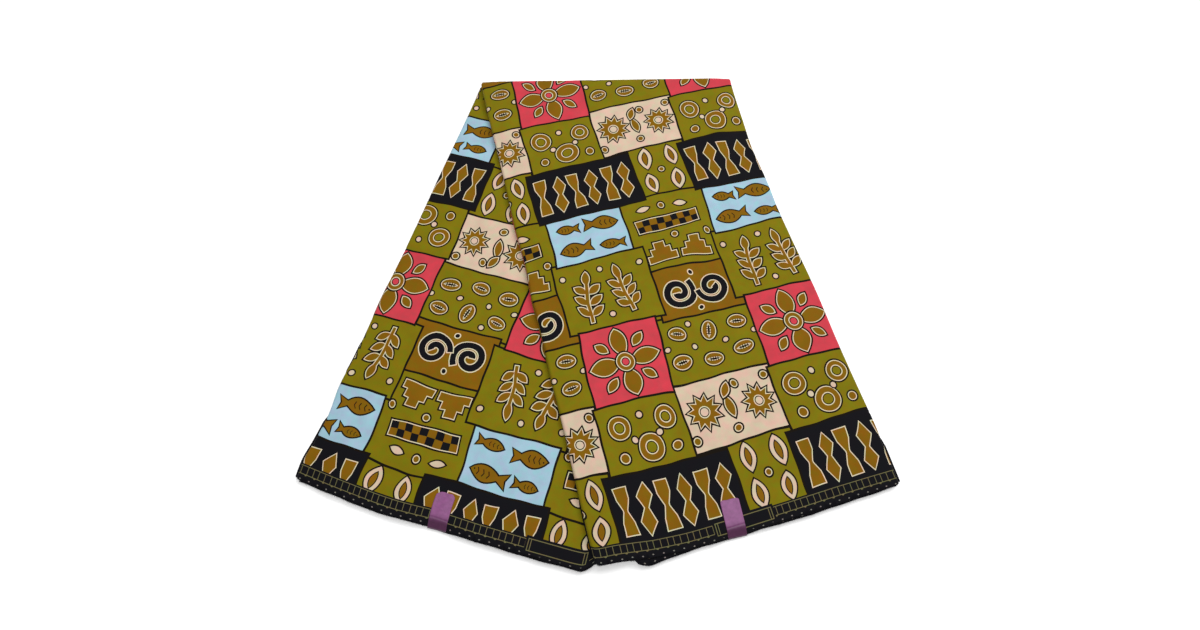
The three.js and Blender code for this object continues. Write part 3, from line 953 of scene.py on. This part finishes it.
def layeredStack(name, lobe):
    us, vs = spread(0, 1, layers["pitch"] / panelWidth), spread(0, 1, layers["pitch"] / lobe["innerLength"])
    rim = rimOf(len(vs), len(us))
    u, v = us[[c for r, c in rim]], vs[[r for r, c in rim]]
    rings, ringDyes = foldRings(lobe, u, (1 - v) * lobe["innerLength"])
    vertices = [stackPoints(lobe, u, v, share, inset) for share, inset in rings]
    faces, faceDyes, n = [], [], len(rim)
    for k in range(len(rings) - 1):
        for i in range(n):
            j = (i + 1) % n
            faces.append((k * n + i, (k + 1) * n + i, (k + 1) * n + j, k * n + j))
            faceDyes.append(ringDyes[k][i])
    for k in (0, len(rings) - 1):  # the top and the underside, each a grid whose rim is a ring
        start = sum(len(points) for points in vertices)
        gridU, gridV = (g.ravel() for g in np.meshgrid(us, vs))
        share, inset = rings[k]
        vertices.append(stackPoints(lobe, gridU, gridV, share, np.full(len(gridU), np.mean(inset))))
        index = {(r, c): start + r * len(us) + c for r in range(len(vs)) for c in range(len(us))}
        index.update({cell: k * n + i for i, cell in enumerate(rim)})
        for r in range(len(vs) - 1):
            for c in range(len(us) - 1):
                face = (index[r, c], index[r, c + 1], index[r + 1, c + 1], index[r + 1, c])
                faces.append(face if k else face[::-1])
                faceDyes.append(dyeNames.index("olive"))
    vertices = np.concatenate(vertices)
    used, back = np.unique(np.array(faces), return_inverse=True)
    faces = back.reshape(-1, 4)
    if lobe["side"] < 0:
        faces = faces[:, ::-1]
    piece = meshObject(name, vertices[used], faces)
    dyeFaces(piece, faceDyes)
    clothCoordinates(piece, vertices[used][:, :2])
    print(f"{name}: {len(faces)} faces")
    return piece


rightLayers = layeredStack("rightLayers", rightLobe)
leftLayers = layeredStack("leftLayers", leftLobe)
print("hidden layers done")

underCut = {"side": 1.8, "hem": 3.2, "back": 8}  # the lowest layer stays that far inside the folds round it


def undersidePoints(lobe, across, fromHem):
    plan = planOf(lobe, across, fromHem, True)
    return np.column_stack([plan, underOf(lobe, plan) + cloth["thickness"]])


# The lowest layer of a lobe, printed side down
def underside(name, lobe, origin, turned):
    hem = spread(underCut["side"], panelWidth - underCut["side"], edgeStep)
    top = rowAt(lobe, hem[::-1], -underCut["back"])
    outline = outlineOf(np.column_stack([hem, np.full(len(hem), underCut["hem"])]), top)
    spots = netOf(lobe, -underCut["back"])[::2]
    lay = partial(undersidePoints, lobe)
    return printedCloth(name, outline, patchwork(origin, turned), spots, lay, lobe["side"] > 0)


rightUnder = underside("rightUnderside", rightLobe, (120, 60), True)
leftUnder = underside("leftUnderside", leftLobe, (10, 210), False)
print("undersides done")


# A label: a strip of satin on the hem, made from the cloth's own points and lifted off them
def hemLabel(name, lobe):
    wide, tall = spread(-0.5, 0.5, 1 / 24), spread(0, 1, 1 / 60)
    over, away = (a.ravel() for a in np.meshgrid(wide * labelCloth["width"], tall))
    corner = lobe["label"]["corner"]
    rounded = np.maximum(np.abs(over) - labelCloth["width"] / 2 + corner, 0)
    length = labelCloth["length"] - labelCloth["roundness"] / corner * rounded**2 + 0.2 * np.sin(over * 0.7)
    away = away * (length + labelCloth["pastHem"]) - labelCloth["pastHem"]
    c, s = heading(lobe["label"]["lean"])
    across = lobe["label"]["across"] * panelWidth + over * c + away * s
    points = surfacePoints(lobe, across, away * c - over * s)
    crease = labelCloth["crease"]
    offCrease = (away - crease["up"] - crease["lean"] * over) / crease["width"]
    ripple = labelCloth["ripple"] * np.sin(over / 2.3 + away / 9) * smooth(away, 4, 20)
    points[:, 2] += labelCloth["lift"] + ripple - crease["depth"] * np.exp(-(offCrease**2))
    points[:, 2] -= labelCloth["fallOff"] * np.maximum(-away, 0)
    columns = len(wide)
    starts = [r * columns + c for r in range(len(tall) - 1) for c in range(columns - 1)]
    faces = np.array([(a, a + 1, a + columns + 1, a + columns) for a in starts])
    piece = meshObject(name, points, faces if lobe["side"] > 0 else faces[:, [0, 3, 2, 1]])
    clothCoordinates(piece, np.column_stack([over, away]))
    giveThickness(piece, labelCloth["thickness"], 1)
    return piece


rightLabel = hemLabel("rightLabel", rightLobe)
leftLabel = hemLabel("leftLabel", leftLobe)
print("labels done")


# A node with its settings and inputs. A node given as an input feeds it by its first output in use.
def addNode(tree, kind, inputs=None, **settings):
    node = tree.nodes.new(kind)
    for name, value in settings.items():
        setattr(node, name, value)
    for name, value in (inputs or {}).items():
        if isinstance(value, bpy.types.Node):
            value = next(socket for socket in value.outputs if socket.enabled)
        if isinstance(value, bpy.types.NodeSocket):
            tree.links.new(value, node.inputs[name])
        else:
            node.inputs[name].default_value = value
    return node


def newMaterial(name):
    material = bpy.data.materials.new(name)
    material.use_nodes = True
    material.node_tree.nodes.clear()
    return material, material.node_tree


# A colour that is a little lighter and darker in clouds, with that many clouds to the metre
def clouded(tree, place, colour, clouds, detail, darkest, lightest):
    noise = addNode(tree, "ShaderNodeTexNoise", {"Vector": place, "Scale": clouds, "Detail": detail})
    tone = addNode(tree, "ShaderNodeMapRange", {
        "Value": noise, "From Min": 0.3, "From Max": 0.7, "To Min": darkest, "To Max": lightest})
    return addNode(tree, "ShaderNodeVectorMath", {0: colour, "Scale": tone}, operation="SCALE")


def bandScale(spacing):  # of a wave texture, which turns through 20 radians to the unit
    return 2 * math.pi / (20 * spacing * mm)


# Plain-weave cotton, wax printed: matt and crisp, with a faint sheen and dye that isn't quite even
def printedCotton(name):
    material, tree = newMaterial(name)
    dye = addNode(tree, "ShaderNodeVertexColor", layer_name="print")
    place = addNode(tree, "ShaderNodeUVMap", uv_map="cloth")
    patchy = addNode(tree, "ShaderNodeTexNoise", {"Vector": place, "Scale": 130.0, "Detail": 3.0})
    casts = []
    for low, high in ((0.93, 1.09), (1.05, 0.92)):  # browner and greener patches, about 8 mm across
        casts.append(addNode(tree, "ShaderNodeMapRange", {
            "Value": patchy, "From Min": 0.35, "From Max": 0.65, "To Min": low, "To Max": high}))
    cast = addNode(tree, "ShaderNodeCombineXYZ", {"X": casts[0], "Y": casts[1], "Z": 1.0})
    dyed = addNode(tree, "ShaderNodeVectorMath", {0: dye, 1: cast}, operation="MULTIPLY")
    shade = clouded(tree, place, dyed, 55.0, 5.0, 0.93, 1.07)
    threads = []
    for direction in ("X", "Y"):  # drawn 4.4 mm apart, about a dozen real threads, and only just raised
        wave = {"Vector": place, "Scale": bandScale(4.4)}
        threads.append(addNode(tree, "ShaderNodeTexWave", wave, bands_direction=direction).outputs["Fac"])
    weave = addNode(tree, "ShaderNodeMath", {0: threads[0], 1: threads[1]}, operation="MULTIPLY")
    bump = addNode(tree, "ShaderNodeBump", {"Height": weave, "Strength": 0.25, "Distance": 0.06 * mm})
    shader = addNode(tree, "ShaderNodeBsdfPrincipled", {
        "Base Color": shade, "Normal": bump, "Roughness": 0.75, "IOR": 1.45, "Specular IOR Level": 0.12,
        "Sheen Weight": 0.03, "Sheen Roughness": 0.5})
    addNode(tree, "ShaderNodeOutputMaterial", {"Surface": shader})
    return material


# Woven satin: smooth, with a soft gloss, and painted shade that darkens it where the label bends over the hem
def purpleSatin():
    material, tree = newMaterial("wovenSatin")
    place = addNode(tree, "ShaderNodeUVMap", uv_map="cloth")
    along = addNode(tree, "ShaderNodeSeparateXYZ", {"Vector": place}).outputs["Y"]
    # painted shade: dark low on the label, light from 14 mm up, for the shade where it bends over the hem
    bend = addNode(tree, "ShaderNodeMapRange", {"Value": along, "From Min": 4 * mm, "From Max": 14 * mm},
                   interpolation_type="SMOOTHSTEP")
    colour = addNode(tree, "ShaderNodeMix", {"Factor": bend, "A": linear("501D45"), "B": linear("904E86")},
                     data_type="RGBA")
    shade = clouded(tree, place, colour, 260.0, 4.0, 0.86, 1.14)
    ribs = {"Vector": place, "Scale": bandScale(3.77)}  # coarser than real ribs, and only just raised
    rib = addNode(tree, "ShaderNodeTexWave", ribs, bands_direction="Y").outputs["Fac"]
    bump = addNode(tree, "ShaderNodeBump", {"Height": rib, "Strength": 0.2, "Distance": 0.05 * mm})
    shader = addNode(tree, "ShaderNodeBsdfPrincipled", {
        "Base Color": shade, "Normal": bump, "Roughness": 0.4, "IOR": 1.5, "Specular IOR Level": 0.5,
        "Sheen Weight": 0.1})
    addNode(tree, "ShaderNodeOutputMaterial", {"Surface": shader})
    return material


# Black selvedge yarn: tiny spun loops, matt
def selvedgeYarn():
    material, tree = newMaterial("selvedgeYarn")
    place = addNode(tree, "ShaderNodeTexCoord").outputs["Object"]
    # Its shade changes about as often as from loop to loop
    fluff = addNode(tree, "ShaderNodeTexNoise", {"Vector": place, "Scale": 900.0, "Detail": 2.0})
    colour = addNode(tree, "ShaderNodeMix", {"Factor": fluff, "A": linear("101018"), "B": linear("2C2B2C")},
                     data_type="RGBA")
    shader = addNode(tree, "ShaderNodeBsdfPrincipled", {
        "Base Color": colour, "Roughness": 0.9, "IOR": 1.45, "Specular IOR Level": 0.15})
    addNode(tree, "ShaderNodeOutputMaterial", {"Surface": shader})
    return material


waxPrint = printedCotton("waxPrintCotton")
satin = purpleSatin()
yarn = selvedgeYarn()

# Weft loops along a selvedge, one at every few threads
loopSizes = {
    "Pitch": 1.2 * mm,
    "Width": 0.7 * mm,
    "Reach": 0.55 * mm,
    "Thread": 0.1 * mm,
    "Smallest": 0.55,  # as shares of these sizes
    "Largest": 1.25,
}


def loopTree():
    tree = bpy.data.node_groups.new("weftLoops", "GeometryNodeTree")
    sizes = dict.fromkeys(loopSizes, "Float")
    kinds = {"Geometry": "Geometry", **sizes, "Seed": "Int", "Material": "Material"}
    for name, kind in kinds.items():
        tree.interface.new_socket(name, in_out="INPUT", socket_type="NodeSocket" + kind)
    tree.interface.new_socket("Geometry", in_out="OUTPUT", socket_type="NodeSocketGeometry")
    given = addNode(tree, "NodeGroupInput").outputs
    edge = addNode(tree, "GeometryNodeMeshToCurve", {"Mesh": given["Geometry"]})
    spots = addNode(tree, "GeometryNodeCurveToPoints", {"Curve": edge, "Length": given["Pitch"]},
                    mode="LENGTH")
    corners = []
    for size, share, axis in (("Width", -0.5, "X"), ("Reach", -2.0, "Y"), ("Width", 0.5, "X")):
        offset = addNode(tree, "ShaderNodeMath", {0: given[size], 1: share}, operation="MULTIPLY")
        corners.append(addNode(tree, "ShaderNodeCombineXYZ", {axis: offset}))
    arc = addNode(tree, "GeometryNodeCurveQuadraticBezier", {  # it reaches half as far as its middle point
        "Resolution": 6, "Start": corners[0], "Middle": corners[1], "End": corners[2]})
    section = addNode(tree, "GeometryNodeCurvePrimitiveCircle", {"Resolution": 4, "Radius": given["Thread"]})
    loop = addNode(tree, "GeometryNodeCurveToMesh", {"Curve": arc, "Profile Curve": section})
    along = addNode(tree, "FunctionNodeAlignRotationToVector", {"Vector": spots.outputs["Tangent"]}, axis="X")
    level = addNode(tree, "FunctionNodeAlignRotationToVector", {"Rotation": along, "Vector": (0, 0, 1)},
                    axis="Z", pivot_axis="X")
    size = addNode(tree, "FunctionNodeRandomValue", {
        2: given["Smallest"], 3: given["Largest"], "Seed": given["Seed"]}, data_type="FLOAT")
    placedLoops = addNode(tree, "GeometryNodeInstanceOnPoints", {
        "Points": spots, "Instance": loop, "Rotation": level, "Scale": size})
    real = addNode(tree, "GeometryNodeRealizeInstances", {"Geometry": placedLoops})
    done = addNode(tree, "GeometryNodeSetMaterial", {"Geometry": real, "Material": given["Material"]})
    addNode(tree, "NodeGroupOutput", {"Geometry": done})
    return tree


def selvedgeLoops(name, hems, material, seed):
    points, edges = [], []
    for lobe, low, high, below, second in hems:
        across = spread(low, high, 2)[::lobe["side"]]  # always left to right, so that the loops point out
        up = hemWave(across) if second else hemLine(lobe, across)[:, 1]
        edge = surfacePoints(lobe, across, up, below + cloth["thickness"] / 2, second)
        edges += [(len(points) + i, len(points) + i + 1) for i in range(len(edge) - 1)]
        points += list(edge)
    piece = meshObject(name, points, [], edges)
    tree = loopTree()
    made = piece.modifiers.new("loops", "NODES")
    made.node_group = tree
    inputs = {item.name: item.identifier for item in tree.interface.items_tree if item.in_out == "INPUT"}
    for key, value in dict(loopSizes, Seed=seed, Material=material).items():
        made[inputs[key]] = value
    baked = bpy.data.meshes.new_from_object(piece.evaluated_get(bpy.context.evaluated_depsgraph_get()))
    piece.modifiers.remove(made)
    piece.data = baked
    print(f"{name}: {len(baked.polygons)} faces")
    return piece


weftLoops = selvedgeLoops("selvedgeLoops", [
    (lobe, low, high, below, second)
    for low, high, below, second in (
        (rollEdge, panelWidth - rollEdge, 0, False),
        (secondCut["inner"], panelWidth - secondCut["outer"], secondBelow, True),
    )
    for lobe in (rightLobe, leftLobe)
], yarn, 5)
print("selvedge loops done")

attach(weftLoops, "root")

# Each piece with its material, its slot and the CAD node that it stands for
for piece, material, slot, node in (
    (rightPanel, waxPrint, "printed_cotton", "right_panel"),
    (rightSecond, waxPrint, "under_cotton", "right_second_layer"),
    (leftPanel, waxPrint, "printed_cotton", "left_panel"),
    (leftSecond, waxPrint, "under_cotton", "left_second_layer"),
    (rightLayers, waxPrint, "printed_cotton", "hidden_layers"),
    (leftLayers, waxPrint, "printed_cotton", "hidden_layers"),
    (rightUnder, waxPrint, "printed_cotton", "hidden_layers"),
    (leftUnder, waxPrint, "printed_cotton", "hidden_layers"),
    (rightLabel, satin, "purple_satin", "right_label"),
    (leftLabel, satin, "purple_satin", "left_label"),
):
    piece.data.materials.append(material)
    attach(piece, "root")
    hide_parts(node)

print("materials done")

# Floor, lights and camera
studio = {
    "floor": "FCFCFC",
    "reach": 4000,
    "level": -0.2,  # just below the cloth
    "glow": 0.4,  # of the floor, so that it stays pale away from the lamp
    "sky": 0.4,
    "lamps": {  # in metres and watts
        "key": {"place": (2.2, 1.5, 2.9), "size": 2.0, "power": 58},
        "overhead": {"place": (0.04, 0.12, 1), "size": 0.8, "power": 3.5},
    },
    "camera": {"aim": (2.53, -29.2, 9), "distance": 813.3, "elevation": 65, "lens": 23.22},
}
reach = studio["reach"]
corners = [(x, y, studio["level"]) for x, y in rectangle(-reach, -reach, 2 * reach, 2 * reach)]
floor = meshObject("floor", corners, [(0, 1, 2, 3)])
floorMaterial, floorTree = newMaterial("paleFloor")
floorShader = addNode(floorTree, "ShaderNodeBsdfPrincipled", {
    "Base Color": linear(studio["floor"]), "Roughness": 0.9,
    "Emission Color": (1, 1, 1, 1), "Emission Strength": studio["glow"]})
addNode(floorTree, "ShaderNodeOutputMaterial", {"Surface": floorShader})
floor.data.materials.append(floorMaterial)

world = bpy.data.worlds.new("studio")
world.use_nodes = True
background = world.node_tree.nodes["Background"].inputs
background["Color"].default_value = (1, 1, 1, 1)
background["Strength"].default_value = studio["sky"]
bpy.context.scene.world = world
bpy.context.scene.view_settings.view_transform = "Standard"

for lampName, values in studio["lamps"].items():
    lamp = bpy.data.lights.new(lampName, "AREA")
    lamp.shape = "DISK"
    lamp.size = values["size"]
    lamp.energy = values["power"]
    lampObject = addObject(lampName, lamp)
    lampObject.location = values["place"]
    lampObject.rotation_euler = (-Vector(values["place"])).to_track_quat("-Z", "Y").to_euler()

shot = studio["camera"]
tilt = math.radians(90 - shot["elevation"])
camera = bpy.data.cameras.new("camera")
camera.lens = shot["lens"]
camera.sensor_width = 36
camera.clip_start = 0.01
cameraObject = addObject("camera", camera)
aim = Vector(shot["aim"]) * mm
cameraObject.location = aim + Vector((0, -math.sin(tilt), math.cos(tilt))) * shot["distance"] * mm
cameraObject.rotation_euler = (tilt, 0, 0)
bpy.context.scene.camera = cameraObject
print("studio done")
